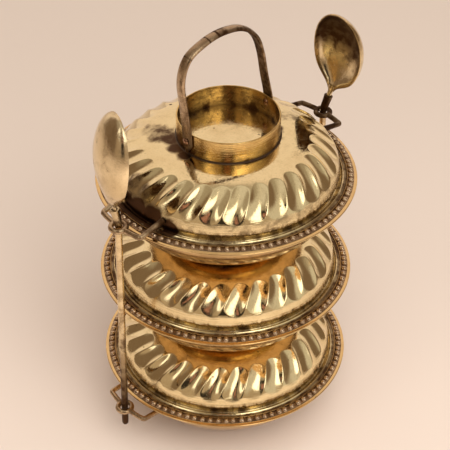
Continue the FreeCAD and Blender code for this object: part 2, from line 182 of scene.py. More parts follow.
# ---- mesh helpers ----------------------------------------------------------------------------------------
def grid_mesh(name, grid, layers, wrap_rows=False):
    """Mesh over a grid of points in millimetres. Columns close round; rows close too if asked."""
    rows, cols, _ = grid.shape
    row = np.arange(rows if wrap_rows else rows - 1)[:, None]
    col = np.arange(cols)[None, :]
    after = (row + 1) % rows * cols
    beside = (col + 1) % cols
    corners = (row * cols + col, row * cols + beside, after + beside, after + col)
    faces = np.stack([c + 0 * (row + col) for c in corners], axis=-1).reshape(-1, 4)
    mesh = bpy.data.meshes.new(name)
    mesh.from_pydata((grid.reshape(-1, 3) * MM).tolist(), [], faces.tolist())
    for layer, values in layers.items():
        attribute = mesh.attributes.new(layer, "FLOAT", "POINT")
        attribute.data.foreach_set("value", values.astype(np.float32).ravel())
    return mesh


def cap_ends(mesh):
    """Close the open ends of a tube."""
    work = bmesh.new()
    work.from_mesh(mesh)
    open_edges = [e for e in work.edges if e.is_boundary]
    bmesh.ops.holes_fill(work, edges=open_edges, sides=0)
    work.to_mesh(mesh)
    work.free()


def joined(meshes, name):
    """One mesh from several, with their layers."""
    work = bmesh.new()
    for mesh in meshes:
        work.from_mesh(mesh)
    made = bpy.data.meshes.new(name)
    work.to_mesh(made)
    work.free()
    for mesh in meshes:
        bpy.data.meshes.remove(mesh)
    return made


def add_piece(mesh, name, material, sharp=40.0):
    """Object from a mesh: doubles merged, normals outwards, smooth with sharp edges kept."""
    work = bmesh.new()
    work.from_mesh(mesh)
    bmesh.ops.remove_doubles(work, verts=work.verts, dist=1e-7)
    bmesh.ops.recalc_face_normals(work, faces=work.faces)
    limit = math.radians(sharp)
    for face in work.faces:
        face.smooth = True
    for edge in work.edges:
        edge.smooth = len(edge.link_faces) == 2 and edge.calc_face_angle(0.0) < limit
    work.to_mesh(mesh)
    work.free()
    mesh.materials.append(material)
    piece = bpy.data.objects.new(name, mesh)
    bpy.context.scene.collection.objects.link(piece)
    return piece


def settle(piece, body, slot, *nodes):
    """The piece rides on a body and stands for these CAD nodes; slot is not used."""
    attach(piece, body)
    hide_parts(*nodes)


def ellipse(centre, size, start, end, steps):
    """Points of an elliptic arc, angles in degrees, as an array of (radius, height)."""
    angle = np.radians(np.linspace(start, end, steps))
    return np.stack([centre[0] + size[0] * np.cos(angle), centre[1] + size[1] * np.sin(angle)], axis=1)


def chain(*pieces):
    """One profile from several lists of points, without repeating the joints."""
    points = []
    for piece in pieces:
        for point in np.asarray(piece, float).reshape(-1, 2):
            if not points or np.hypot(*(point - points[-1])) > 1e-4:
                points.append(point)
    return np.array(points)


def spin(profile, segments, centre=(0.0, 0.0), height=0.0):
    """Grid of points from a (radius, height) profile turned about a vertical axis."""
    angle = np.linspace(0, 2 * np.pi, segments, endpoint=False)
    x = centre[0] + profile[:, :1] * np.cos(angle)
    y = centre[1] + profile[:, :1] * np.sin(angle)
    z = np.repeat(profile[:, 1:] + height, segments, axis=1)
    return np.stack([x, y, z], axis=-1)


def smooth_step(low, high, value):
    """0 below low, 1 above high, and smooth between them."""
    t = np.clip((value - low) / (high - low), 0.0, 1.0)
    return t * t * (3 - 2 * t)


def curve_through(points, per_span):
    """Points of a Catmull-Rom curve through the given ones."""
    known = np.asarray(points, float)
    padded = np.vstack([2 * known[0] - known[1], known, 2 * known[-1] - known[-2]])
    made = []
    for i in range(len(known) - 1):
        a, b, c, d = padded[i:i + 4]
        for t in np.linspace(0, 1, per_span, endpoint=False):
            made.append(0.5 * (2 * b + (c - a) * t + (2 * a - 5 * b + 4 * c - d) * t ** 2
                               + (3 * b - a - 3 * c + d) * t ** 3))
    made.append(known[-1])
    return np.array(made)


def sweep(line, section, side=(0.0, 0.0, 1.0), closed=False):
    """Grid of points from a cross-section carried along a line.

    section(share) gives (across, out) points at that share of the line. Across is along side, as far as the
    line's direction lets it.
    """
    line = np.asarray(line, float)
    count = len(line)
    ahead = np.roll(line, -1, axis=0) - np.roll(line, 1, axis=0)
    if not closed:
        ahead[0] = line[1] - line[0]
        ahead[-1] = line[-1] - line[-2]
    ahead /= np.linalg.norm(ahead, axis=1)[:, None]
    across = np.array(side, float)
    rows = []
    for i in range(count):
        flat = across - ahead[i] * (across @ ahead[i])
        flat /= np.linalg.norm(flat)
        out = np.cross(ahead[i], flat)
        points = section(i / (count - 1))
        rows.append(line[i] + points[:, :1] * flat + points[:, 1:] * out)
    return np.array(rows)


def round_section(radius, sides=16):
    """Cross-section function of a round bar; radius may be a function of the share along the line."""
    angle = np.linspace(0, 2 * np.pi, sides, endpoint=False)
    circle = np.stack([np.cos(angle), np.sin(angle)], axis=1)
    return lambda share: circle * (radius(share) if callable(radius) else radius)


# ---- materials -------------------------------------------------------------------------------------------
def node(tree, kind, inputs=None, **settings):
    """A shader node with its settings, and inputs that are values or other nodes' outputs."""
    made = tree.nodes.new("ShaderNode" + kind)
    for key, value in settings.items():
        setattr(made, key, value)
    for key, value in (inputs or {}).items():
        if isinstance(value, bpy.types.NodeSocket):
            tree.links.new(value, made.inputs[key])
        else:
            made.inputs[key].default_value = value
    return made


def ranged(tree, value, low, high, out_low, out_high):
    """Value carried from one range to another, and clamped."""
    inputs = {"Value": value, "From Min": low, "From Max": high, "To Min": out_low, "To Max": out_high}
    return node(tree, "MapRange", inputs, interpolation_type="SMOOTHSTEP").outputs["Result"]


def maths(tree, operation, a, b=0.0):
    """Result of a maths node."""
    return node(tree, "Math", {0: a, 1: b}, operation=operation).outputs["Value"]


def mixed(tree, share, a, b):
    """Colour between a and b, which are colours or sockets."""
    a, b = (colour if isinstance(colour, bpy.types.NodeSocket) else (*colour, 1.0) for colour in (a, b))
    factor, first, second, result = 0, 6, 7, 2
    return node(tree, "Mix", {factor: share, first: a, second: b}, data_type="RGBA").outputs[result]


def noise_mask(tree, place, scale, low, high, detail=5.0, stretch=(1, 1, 1)):
    """A soft mask from noise: 0 below low and 1 above high. Scale is in features per metre."""
    moved = node(tree, "Mapping", {"Vector": place, "Scale": stretch}).outputs["Vector"]
    cloud = node(tree, "TexNoise", {"Vector": moved, "Scale": scale, "Detail": detail, "Roughness": 0.6})
    return ranged(tree, cloud.outputs["Fac"], low, high, 0.0, 1.0)


def metal_masks(tree, place):
    """Masks that every finish draws on."""
    cells = node(tree, "TexVoronoi", {"Vector": place, "Scale": 95.0, "Randomness": 1.0}).outputs["Distance"]
    return {
        "blotches": noise_mask(tree, place, 38.0, 0.46, 0.66),
        "clouds": noise_mask(tree, place, 140.0, 0.40, 0.70),
        "specks": noise_mask(tree, place, 900.0, 0.50, 0.72, detail=3.0),
        "scratches": noise_mask(tree, place, 420.0, 0.56, 0.74, detail=2.0, stretch=(0.25, 1.0, 3.0)),
        "pits": ranged(tree, cells, 0.045, 0.075, 1.0, 0.0),
    }


def metal_colour(tree, masks, darkening, bright, tarnish, dark, blotch, mottle):
    """Bright metal with tarnished blotches and clouds, dark specks and pits, and darkening from dirt and
    painted shade over all of it.
    """
    colour = bright
    for mask, share, over in (
        ("blotches", blotch, tarnish),
        ("clouds", mottle, tarnish),
        ("specks", 0.6 * mottle, dark),
        ("pits", 0.5, dark),
    ):
        colour = mixed(tree, maths(tree, "MULTIPLY", masks[mask], share), colour, over)
    return mixed(tree, darkening, colour, dark)


def metal_height(tree, place, masks, waves, brush):
    """Height of the bumps in millimetres: shallow dents, specks, pits, and brush marks if asked."""
    dents = node(tree, "TexNoise", {"Vector": place, "Scale": 55.0, "Detail": 1.0}).outputs["Fac"]
    height = maths(tree, "MULTIPLY", dents, waves)
    height = maths(tree, "ADD", height, maths(tree, "MULTIPLY", masks["specks"], 0.015))
    height = maths(tree, "SUBTRACT", height, maths(tree, "MULTIPLY", masks["pits"], 0.05))
    if brush is not None:
        lines = noise_mask(tree, place, 260.0, 0.3, 0.7, detail=4.0, stretch=brush)
        height = maths(tree, "ADD", height, maths(tree, "MULTIPLY", lines, 0.05))
    return height


def aged_metal(name, bright, tarnish, dark, polish, blotch=0.5, mottle=0.35, darkness=1.0, waves=0.1,
               brush=None, turned=0.0, patchy=0.35):
    """Old polished brass or bronze: blotches of tarnish, fine mottling, pits, and darkening where the mesh
    attribute says, from old dirt and painted shade.

    polish is the roughness of the clean metal and of the worn metal. waves is the depth of its dents, brush
    the stretch of its brush marks, and turned the depth of turning lines where the "turned" attribute says.
    patchy breaks up the edges of the darkening.
    """
    material = bpy.data.materials.new(name)
    material.use_nodes = True
    tree = material.node_tree
    place = node(tree, "TexCoord").outputs["Object"]
    dirt_and_painted_light = node(tree, "Attribute", attribute_name="dirt_and_painted_light").outputs["Fac"]
    masks = metal_masks(tree, place)
    patches = maths(tree, "MULTIPLY", masks["clouds"], patchy)
    # Darkening from the attribute: old dirt and painted shade; where the attribute is lower, painted
    # highlight.
    darkening = ranged(tree, maths(tree, "ADD", dirt_and_painted_light, patches), 0.25, 1.05, 0.0, darkness)
    wear = maths(tree, "MAXIMUM", maths(tree, "MULTIPLY", masks["clouds"], 0.6), darkening)
    wear = maths(tree, "MAXIMUM", wear, maths(tree, "MULTIPLY", masks["scratches"], 0.45))
    height = metal_height(tree, place, masks, waves, brush)
    if turned:
        zone = node(tree, "Attribute", attribute_name="turned").outputs["Fac"]
        rings = noise_mask(tree, place, 1100.0, 0.3, 0.7, detail=2.0, stretch=(0.02, 0.02, 1.0))
        rings = maths(tree, "MULTIPLY", rings, zone)
        height = maths(tree, "ADD", height, maths(tree, "MULTIPLY", rings, turned))
        wear = maths(tree, "MAXIMUM", wear, maths(tree, "MULTIPLY", zone, 0.7))
    colour = metal_colour(tree, masks, darkening, bright, tarnish, dark, blotch, mottle)
    rough = ranged(tree, wear, 0.0, 1.0, *polish)
    rough = maths(tree, "ADD", rough, maths(tree, "MULTIPLY", darkening, 0.16))
    bump = node(tree, "Bump", {"Height": height, "Strength": 1.0, "Distance": MM})
    shader = tree.nodes["Principled BSDF"]
    shader.inputs["Metallic"].default_value = 1.0
    tree.links.new(colour, shader.inputs["Base Color"])
    tree.links.new(rough, shader.inputs["Roughness"])
    tree.links.new(bump.outputs["Normal"], shader.inputs["Normal"])
    return material


def make_materials():
    """Every finish of the carrier."""
    ochre = (0.45, 0.27, 0.10)
    umber = (0.075, 0.035, 0.014)
    return {
        # The lid's dark colour serves its dirt and stains, and the painted shade in its neck and round the
        # left bracket.
        "lid": aged_metal(
            "polished_lid_brass", (0.95, 0.79, 0.46), (0.62, 0.43, 0.19), (0.105, 0.052, 0.024),
            polish=(0.05, 0.30), blotch=0.20, mottle=0.16, waves=0.06, turned=0.06),
        # Bowls: a deeper, more orange copy of the lid's brass, partly more tarnish and partly painted shade
        # for the amber light between the tiers.
        "bowl": aged_metal(
            "bowl_brass", (0.86, 0.60, 0.28), (0.46, 0.26, 0.09), (0.12, 0.046, 0.011),
            polish=(0.07, 0.16), blotch=0.12, mottle=0.10, darkness=0.82, waves=0.02, patchy=0.10),
        "bead": aged_metal(
            "bead_brass", (0.72, 0.55, 0.38), (0.44, 0.29, 0.17), (0.22, 0.13, 0.075),
            polish=(0.22, 0.50), blotch=0.4, mottle=0.4, darkness=0.9, waves=0.0),
        "collar": aged_metal(
            "collar_brass", (0.80, 0.56, 0.22), ochre, umber,
            polish=(0.10, 0.26), blotch=0.35, mottle=0.3, brush=(0.2, 0.2, 6.0)),
        "handle": aged_metal(
            "handle_bronze", (0.52, 0.38, 0.24), (0.24, 0.15, 0.08), umber,
            polish=(0.24, 0.46), blotch=0.6, mottle=0.5, waves=0.15, brush=(3.0, 3.0, 0.3)),
        "bracket": aged_metal(
            "bracket_bronze", (0.56, 0.41, 0.25), (0.26, 0.16, 0.09), umber,
            polish=(0.24, 0.46), blotch=0.6, mottle=0.5, waves=0.15),
        "rod": aged_metal(
            "rod_brass", (0.88, 0.71, 0.43), (0.44, 0.28, 0.13), umber,
            polish=(0.14, 0.36), blotch=0.55, mottle=0.4, brush=(3.0, 3.0, 0.15)),
        "socket": aged_metal(
            "socket_brass", (0.66, 0.52, 0.31), (0.30, 0.19, 0.10), umber,
            polish=(0.16, 0.40), blotch=0.5, mottle=0.4),
        "spoon": aged_metal(
            "spoon_brass", (0.88, 0.72, 0.45), (0.50, 0.35, 0.17), umber,
            polish=(0.15, 0.34), blotch=0.45, mottle=0.3, waves=0.12, brush=(1.5, 1.5, 0.4)),
        "copper": aged_metal(
            "rivet_copper", (0.45, 0.26, 0.16), (0.28, 0.13, 0.07), umber,
            polish=(0.25, 0.45), blotch=0.4, mottle=0.5),
        "solder": aged_metal(
            "solder", (0.12, 0.08, 0.055), (0.07, 0.04, 0.02), umber,
            polish=(0.35, 0.6)),
    }


# ---- bowls -----------------------------------------------------------------------------------------------
def belly(radius, depth, top, steps):
    """Superellipse of the belly from the axis up to the given height, as (radius, height)."""
    top_angle = math.asin((-top / depth) ** (BELLY_POWER / 2))
    angle = np.linspace(math.pi / 2, top_angle, steps)
    x = radius * np.maximum(np.cos(angle), 0.0) ** (2 / BELLY_POWER)
    z = -depth * np.sin(angle) ** (2 / BELLY_POWER)
    x[0] = 0.0
    return np.stack([x, z], axis=1)


def bowl_profile():
    """Outline of a bowl from its outer bottom round the flange and back to its inner bottom."""
    bend = (0.8, 0.6)
    edge = (0.9, 0.55)
    half_rib = (RIB_OUTER - RIB_INNER) / 2
    outer = belly(BELLY_RADIUS, BELLY_DEPTH, FLANGE_UNDER - bend[1], 44)
    under = ellipse((BELLY_RADIUS + bend[0], FLANGE_UNDER - bend[1]), bend, 180, 90, 5)
    lip = ellipse((FLANGE_RADIUS - edge[0], FLANGE_UNDER + edge[1]), edge, -90, 90, 9)
    step = [(82.6, FLANGE_TOP - 0.1), (82.1, FLANGE_TOP + 0.15), (82.0, FLANGE_TOP)]
    rib_foot = [(RIB_OUTER + 0.05, FLANGE_TOP)]
    rib = ellipse((RIB_INNER + half_rib, RIB_TOP - half_rib), (half_rib, half_rib), 0, 180, 9)
    mouth = [(RIB_INNER, FLANGE_TOP), (BELLY_RADIUS - 0.7, FLANGE_TOP)]
    inner = belly(BELLY_RADIUS - WALL, BELLY_DEPTH - WALL, -1.6, 30)[::-1]
    return chain(outer, under, lip, step, rib_foot, rib, mouth, inner)


def make_bowl(tier, materials):
    """A spun bowl with its flange and the low rib round its mouth."""
    profile = bowl_profile()
    segments = 480
    grid = spin(profile, segments, height=BEAD_PLANES[tier])
    radius, height = profile[:, :1], profile[:, 1:]
    # Painted shade on the flange under and between the beads, under the flange, and over the whole belly
    # below it, between the tiers.
    under_beads = 0.75 * smooth_step(76.2, 77.2, radius) * smooth_step(82.6, 81.8, radius) * (height > -1.6)
    under_flange = 0.5 * smooth_step(77.5, 75.5, radius) * smooth_step(-6.0, -2.5, height)
    belly_shade = 0.62 * smooth_step(-3.0, -8.0, height)
    lip = 0.30 * smooth_step(82.8, 83.3, radius)
    dirt_and_painted_light = np.maximum.reduce([under_beads, under_flange, belly_shade, lip])
    dirt_and_painted_light = np.repeat(dirt_and_painted_light, segments, axis=1)
    mesh = grid_mesh(tier + "_bowl_mesh", grid, {"dirt_and_painted_light": dirt_and_painted_light})
    piece = add_piece(mesh, tier + "_bowl_shell", materials["bowl"])
    settle(piece, tier + "_bowl", "bowl_brass", tier + "_bowl")


def bead_grid(size, centre, rings=7, sides=14):
    """Points of one half-round bead that stands on the strip."""
    rise = np.radians(np.linspace(-18, 90, rings))
    turn = np.linspace(0, 2 * np.pi, sides, endpoint=False)
    x = size * np.cos(rise)[:, None] * np.cos(turn)
    y = size * np.cos(rise)[:, None] * np.sin(turn)
    z = np.repeat((size * np.sin(rise))[:, None], sides, axis=1)
    return np.stack([x, y, z], axis=-1) + np.array(centre), np.repeat(rise[:, None], sides, axis=1)


def make_beads(tier, materials):
    """Beaded border: a strip with a row of beads, each a little different."""
    random = np.random.default_rng(7 + TIERS.index(tier))
    height = BEAD_PLANES[tier]
    segments = 360
    strip = chain([(78.1, -1.0), (78.1, -0.75), (78.6, -0.6), (81.4, -0.6), (81.9, -0.75), (81.9, -1.0)])
    # The strip between the beads is darkened: painted shade.
    dirt_and_painted_light = np.full((len(strip), segments), 0.7)
    strip = spin(strip, segments, height=height)
    meshes = [grid_mesh("strip", strip, {"dirt_and_painted_light": dirt_and_painted_light}, wrap_rows=True)]
    for i in range(BEAD_COUNT):
        size = BEAD_SIZE * (1 + 0.03 * random.standard_normal())
        angle = 2 * math.pi * (i + 0.05 * random.standard_normal()) / BEAD_COUNT
        reach = BEAD_RADIUS + 0.08 * random.standard_normal()
        level = height - 0.85 + 0.05 * random.standard_normal()
        centre = (reach * math.cos(angle), reach * math.sin(angle), level)
        grid, rise = bead_grid(min(size, BEAD_LARGEST), centre)
        # Each bead darkens towards its foot: painted shade.
        meshes.append(grid_mesh("bead", grid, {"dirt_and_painted_light": 0.85 * smooth_step(0.60, 0.0, rise)}))
    mesh = joined(meshes, tier + "_bead_mesh")
    piece = add_piece(mesh, tier + "_beads", materials["bead"], sharp=60.0)
    settle(piece, tier + "_bowl", "bead_brass", tier + "_bead_ring")


# ---- lids ------------------------------------------------------------------------------------------------
def dome_arc(start, end, steps):
    """Stretch of the dome's elliptic shoulder between two angles."""
    return ellipse((DOME_FLAT, DOME_WIDEST_Z), DOME_SIZE, start, end, steps)


def lid_profile():
    """Outline of a lid's outer face, from its middle over the shoulder and the hollow neck to the rim."""
    flat = [(0.0, LID_RISE), (8.0, LID_RISE), (20.0, LID_RISE), (31.5, LID_RISE), (33.5, LID_RISE)]
    shoulder = dome_arc(90, 66, 8)
    fluted = dome_arc(66, 10, 72)
    band = [(72.2, 8.4), (72.5, 6.8), (72.7, 5.2), (72.8, 4.2), (72.75, 3.5), (72.3, 3.1)]
    neck = curve_through([
        (71.7, 2.4), (71.0, 0.8), (70.9, -1.0), (71.9, -1.75), (73.3, -1.0),
        (74.0, 0.1), (74.6, 0.65), (75.2, 0.2), (76.0, -0.25), (76.9, -0.3),
    ], 4)
    return chain(flat, shoulder, fluted, band, neck)


def flute_field(lengths, span, radius, angle, tier):
    """How deep each dome point lies in its flute, from 0 outside to 1 in the middle, and the flute's number.

    lengths runs down the outline, and span is where the flutes start and end on it.
    """
    count = FLUTES[tier]
    pitch = 2 * np.pi / count
    total = span[1] - span[0]
    down = lengths - (span[0] + span[1]) / 2
    middle_radius = float(radius[np.argmin(np.abs(down)), 0])
    slant = math.atan(math.radians(FLUTE_SLANT) * middle_radius / total)
    axis = math.radians(FLUTE_PHASE[tier]) + math.radians(FLUTE_SLANT) * (0.5 - down / total)
    turn = (angle - axis) / pitch
    number = np.round(turn)
    across = (turn - number) * pitch * radius
    half = FLUTE_FILL * pitch * radius
    along = down / math.cos(slant) - across * math.sin(slant)
    reach = total / 2 / math.cos(slant)
    to_top = np.clip(1 - (reach + along) / (half * FLUTE_FADE[tier]), 0, 2)
    to_bottom = np.clip(1 - (reach - along) / half, 0, 2)
    off = np.abs(across / half) ** FLUTE_SQUARE + (to_top + to_bottom) ** FLUTE_SQUARE
    pill = np.clip(1 - off ** (2 / FLUTE_SQUARE), 0, 1)
    way = np.clip(np.abs(along) / reach, 0, 1)
    narrow = half * (1 - way ** 6) ** (1 / FLUTE_SQUARE) + 1e-6
    trough = (1 - way ** 2) * np.clip(1 - (across / narrow) ** 2, 0, 1)
    return FLUTE_PILL * pill + (1 - FLUTE_PILL) * trough, np.mod(number, count)


def flute_depth(tier, profile, level, angle, random):
    """Depth of the flutes, each a little different, at every point of a lid's outer face.

    level is in degrees on the dome's quarter ellipse, and angle goes round the lid.
    """
    radius, height = profile[:, :1], profile[:, 1:]
    steps = np.hypot(np.diff(radius, axis=0, prepend=0.0), np.diff(height, axis=0, prepend=LID_RISE))
    lengths = np.cumsum(steps, axis=0)
    zone = ((level < 80) & (height > DOME_WIDEST_Z))[:, 0]
    ends = (FLUTE_TOP[tier], FLUTE_BOTTOM[tier])
    span = [float(np.interp(-end, -level[zone, 0], lengths[zone, 0])) for end in ends]
    hollow, number = flute_field(lengths[zone], span, radius[zone], angle, tier)
    uneven = 1 + 0.10 * random.standard_normal(FLUTES[tier])
    depth = np.zeros((len(profile), angle.shape[1]))
    depth[zone] = FLUTE_DEPTH * hollow * uneven[number.astype(int)]
    if tier == "top":
        turn = (np.degrees(angle) - CALM_MIDDLE + 180) % 360 - 180
        depth *= 1 - CALM_SHARE * np.exp(-(turn / CALM_WIDTH) ** 2)
    return depth


def lid_grid(tier, profile, segments):
    """Points of a lid's outer face with its flutes and its worked edge, and the tool marks on that edge."""
    random = np.random.default_rng(3 + TIERS.index(tier))
    radius, height = profile[:, :1], profile[:, 1:]
    angle = np.linspace(0, 2 * np.pi, segments, endpoint=False)[None, :]
    level = np.arctan2((height - DOME_WIDEST_Z) / DOME_SIZE[1], (radius - DOME_FLAT) / DOME_SIZE[0])
    depth = flute_depth(tier, profile, np.degrees(level), angle, random)
    chatter = np.convolve(random.standard_normal(segments + 1), [0.7, 0.7], "valid")[None, :]
    edge = smooth_step(BAND_LOW - 0.6, BAND_LOW + 0.4, height)
    edge = edge * smooth_step(BAND_LOW + 2.6, BAND_LOW + 1.2, height) * (radius > LID_SKIRT)
    depth += CHATTER_DEPTH * chatter * edge
    out = np.cos(level) / DOME_SIZE[0]
    up = np.sin(level) / DOME_SIZE[1]
    norm = np.hypot(out, up)
    grid = spin(profile, segments)
    grid[..., 0] -= depth * out / norm * np.cos(angle)
    grid[..., 1] -= depth * out / norm * np.sin(angle)
    grid[..., 2] -= depth * np.maximum(up, 0) / norm
    return grid, edge * np.clip(chatter, 0, 1.5)


def lid_shade_and_dirt(profile, marks):
    """Painted shade in the hollow neck and on the rim where it comes down by the bowl's rib, and dirt in the
    tool marks.
    """
    radius, height = profile[:, :1], profile[:, 1:]
    # Painted shade in the hollow neck and on the rim; the tool marks carry real dirt.
    neck = smooth_step(BAND_LOW + 0.2, 0.6, height) * smooth_step(69.0, 70.0, radius)
    neck = 0.52 * neck * smooth_step(75.0, 74.5, radius)
    rim = 0.75 * smooth_step(74.9, 75.6, radius)
    return np.maximum(np.maximum(neck, rim), 0.20 * marks)


def top_lid_dirt_and_shade(grid, profile):
    """Dull band of the top lid, dirt on both sides of its collar, its stains, and painted shade round the
    left bracket's legs.
    """
    radius, height = profile[:, :1], profile[:, 1:]
    band = 0.36 * smooth_step(13.0, 10.0, height) * (radius > LID_SKIRT)
    distance = np.hypot(grid[..., 0] - COLLAR_X, grid[..., 1])
    outside = 1.2 * np.exp(-((distance - COLLAR_OUTER - 0.6) / 0.8) ** 2)
    inside = 0.8 * np.exp(-((distance - COLLAR_INNER + 0.3) / 0.6) ** 2)
    dirt_and_painted_light = np.maximum(band, np.maximum(outside, inside))
    for x, y, z, size, strength in STAINS_AND_SHADE:
        far = np.sqrt((grid[..., 0] - x) ** 2 + (grid[..., 1] - y) ** 2 + (grid[..., 2] - z) ** 2)
        dirt_and_painted_light = np.maximum(dirt_and_painted_light, strength * smooth_step(size * 1.35, size * 0.5, far))
    return dirt_and_painted_light


def lid_back(grid):
    """Points of a lid's inner face: some rows of the outer one, set in by the wall."""
    back = grid[THINNED].copy()
    back[..., 2] -= LID_WALL
    sides = np.hypot(back[..., 0], back[..., 1])
    shrink = np.where(sides > 60, (sides - LID_WALL) / np.maximum(sides, 1.0), 1.0)
    back[..., 0] *= shrink
    back[..., 1] *= shrink
    return back


def make_lid(tier, materials):
    """Domed lid with slanted flutes round its shoulder, a worked edge, a hollow neck and a raised lip."""
    profile = lid_profile()
    radius, height = profile[:, :1], profile[:, 1:]
    grid, marks = lid_grid(tier, profile, segments=660)
    dirt_and_painted_light = lid_shade_and_dirt(profile, marks)
    if tier == "top":
        dirt_and_painted_light = np.maximum(dirt_and_painted_light, top_lid_dirt_and_shade(grid, profile))
    turned = smooth_step(13.0, BAND_TOP, height) * smooth_step(BAND_LOW, BAND_LOW + 1, height)
    turned = np.broadcast_to(turned * (radius > LID_SKIRT), dirt_and_painted_light.shape)
    layers = {"dirt_and_painted_light": dirt_and_painted_light, "turned": turned}
    layers = {name: np.concatenate([values, values[THINNED]]) for name, values in layers.items()}
    whole = np.concatenate([grid, lid_back(grid)])
    whole[..., 2] += BEAD_PLANES[tier]
    mesh = grid_mesh(tier + "_lid_mesh", whole, layers)
    piece = add_piece(mesh, tier + "_lid_shell", materials["lid"], sharp=75.0)
    settle(piece, tier + "_lid", "lid_brass", tier + "_lid")


# ---- collar and handle -----------------------------------------------------------------------------------
def make_collar(materials):
    """Open collar with a rounded rim, painted shade on its inside wall and dirt at its foot."""
    base = LID_RISE + BEAD_PLANES["top"]
    half_wall = (COLLAR_OUTER - COLLAR_INNER) / 2
    rim_centre = (COLLAR_INNER + half_wall, COLLAR_HEIGHT - half_wall)
    rim = ellipse(rim_centre, (half_wall, half_wall), 0, 180, 9)
    outside = [(COLLAR_OUTER, 0.0), (COLLAR_OUTER, 0.6), (COLLAR_OUTER - 0.05, 7.0)]
    inside = [(COLLAR_INNER, 13.0), (COLLAR_INNER, 7.0), (COLLAR_INNER, 0.0)]
    profile = chain(outside, rim, inside)
    segments = 360
    grid = spin(profile, segments, centre=(COLLAR_X, 0.0), height=base)
    foot_grime = 0.8 * smooth_step(1.6, 0.0, profile[:, 1:])
    # The inside wall is darkened as painted shade.
    painted_inside_shade = 0.42 * (profile[:, :1] < COLLAR_INNER + 0.1)
    dirt_and_painted_light = np.repeat(np.maximum(foot_grime, painted_inside_shade), segments, axis=1)
    mesh = grid_mesh("collar_mesh", grid, {"dirt_and_painted_light": dirt_and_painted_light}, wrap_rows=True)
    piece = add_piece(mesh, "collar_band", materials["collar"])
    settle(piece, "top_lid", "collar_brass", "collar")


def strap_section(share):
    """Strap cross-section: a ridge outside, bevelled sides and a flat inside; wide leaves at both feet."""
    foot = np.maximum(smooth_step(0.26, 0.02, share), smooth_step(0.76, 0.99, share))
    tip = max(smooth_step(0.045, 0.0, share), smooth_step(0.955, 1.0, share))
    half = (STRAP_HALF + 1.1 * foot) * (1 - 0.72 * tip)
    thick = STRAP_THICK - 0.6 * foot
    outline = [
        (-1.0, -0.35), (-0.86, -0.8), (0.86, -0.8), (1.0, -0.35), (1.0, 0.2),
        (0.72, 0.72), (0.1, 1.0), (-0.1, 1.0), (-0.72, 0.72), (-1.0, 0.2),
    ]
    return np.array([(x * half, y * thick) for x, y in outline])


def make_handle(materials):
    """Bent strap handle: dark at its feet and on top, painted shade underneath, painted highlight on its
    left bend and along its ridge.
    """
    base = BEAD_PLANES["top"]
    line = curve_through([(x, 0.0, z + base) for x, z in STRAP_LINE], 26)
    grid = sweep(line, strap_section, side=(0.0, 1.0, 0.0))
    share = np.linspace(0, 1, len(line))[:, None]
    feet = np.maximum(smooth_step(0.2, 0.0, share), 0.6 * smooth_step(0.8, 1.0, share))
    top = smooth_step(0.42, 0.48, share) * smooth_step(0.74, 0.60, share)
    # Painted highlight: the left bend is made lighter.
    painted_highlight_left = smooth_step(0.18, 0.28, share) * smooth_step(0.44, 0.42, share)
    notches = sum(np.exp(-((share - notch) / 0.003) ** 2) for notch in STRAP_NOTCHES)
    dirt_and_painted_light = 0.32 + 0.3 * feet + 0.33 * top - 0.45 * painted_highlight_left + notches
    # Painted shade on the inner face and painted highlight along the ridge, by point of the cross-section.
    painted_shade_and_ridge_highlight = np.array([[0.2, 0.35, 0.35, 0.2, 0.1, 0.0, -0.3, -0.3, 0.0, 0.1]])
    mesh = grid_mesh("handle_mesh", grid, {"dirt_and_painted_light": dirt_and_painted_light + painted_shade_and_ridge_highlight})
    cap_ends(mesh)
    piece = add_piece(mesh, "handle_strap", materials["handle"], sharp=50.0)
    bevel = piece.modifiers.new("soften", "BEVEL")
    bevel.width = STRAP_SOFTNESS * MM
    bevel.segments = 2
    bevel.limit_method = "ANGLE"
    bevel.angle_limit = math.radians(25)
    settle(piece, "top_lid", "handle_bronze", "handle")


# ---- brackets --------------------------------------------------------------------------------------------
def bracket_line(side, rise):
    """Points of one leg and arm of a bracket, from its root at the wall to the eye's side.

    side is 1 or -1, and rise is what the leg climbs over 20 mm towards the wall.
    """
    slope = rise / 20.0
    return curve_through([
        (LEG_START, side * (BRACKET_HALF + 0.5), (CORNER_REACH - LEG_START) * slope),
        (80.0, side * (BRACKET_HALF + 0.2), (CORNER_REACH - 80.0) * slope),
        (86.6, side * (BRACKET_HALF + 0.1), 2.0 * slope),
        (88.3, side * (BRACKET_HALF - 0.5), 0.1),
        (88.9, side * (BRACKET_HALF - 2.2), 0.0),
        (89.8, side * 10.5, 0.0),
        (90.4, side * 5.4, 0.0),
    ], 6)


def bracket_leg(side, rise, wire_darkness):
    """Mesh of one leg, thicker and darker at its soldered root."""
    line = bracket_line(side, rise)
    grid = sweep(line, round_section(lambda share: WIRE * (1.0 + 0.22 * smooth_step(0.18, 0.0, share))))
    root = smooth_step(0.25, 0.0, np.linspace(0, 1, len(line)))[:, None]
    dirt_and_painted_light = np.repeat(wire_darkness + 0.5 * root, grid.shape[1], axis=1)
    mesh = grid_mesh("leg", grid, {"dirt_and_painted_light": dirt_and_painted_light})
    cap_ends(mesh)
    return mesh


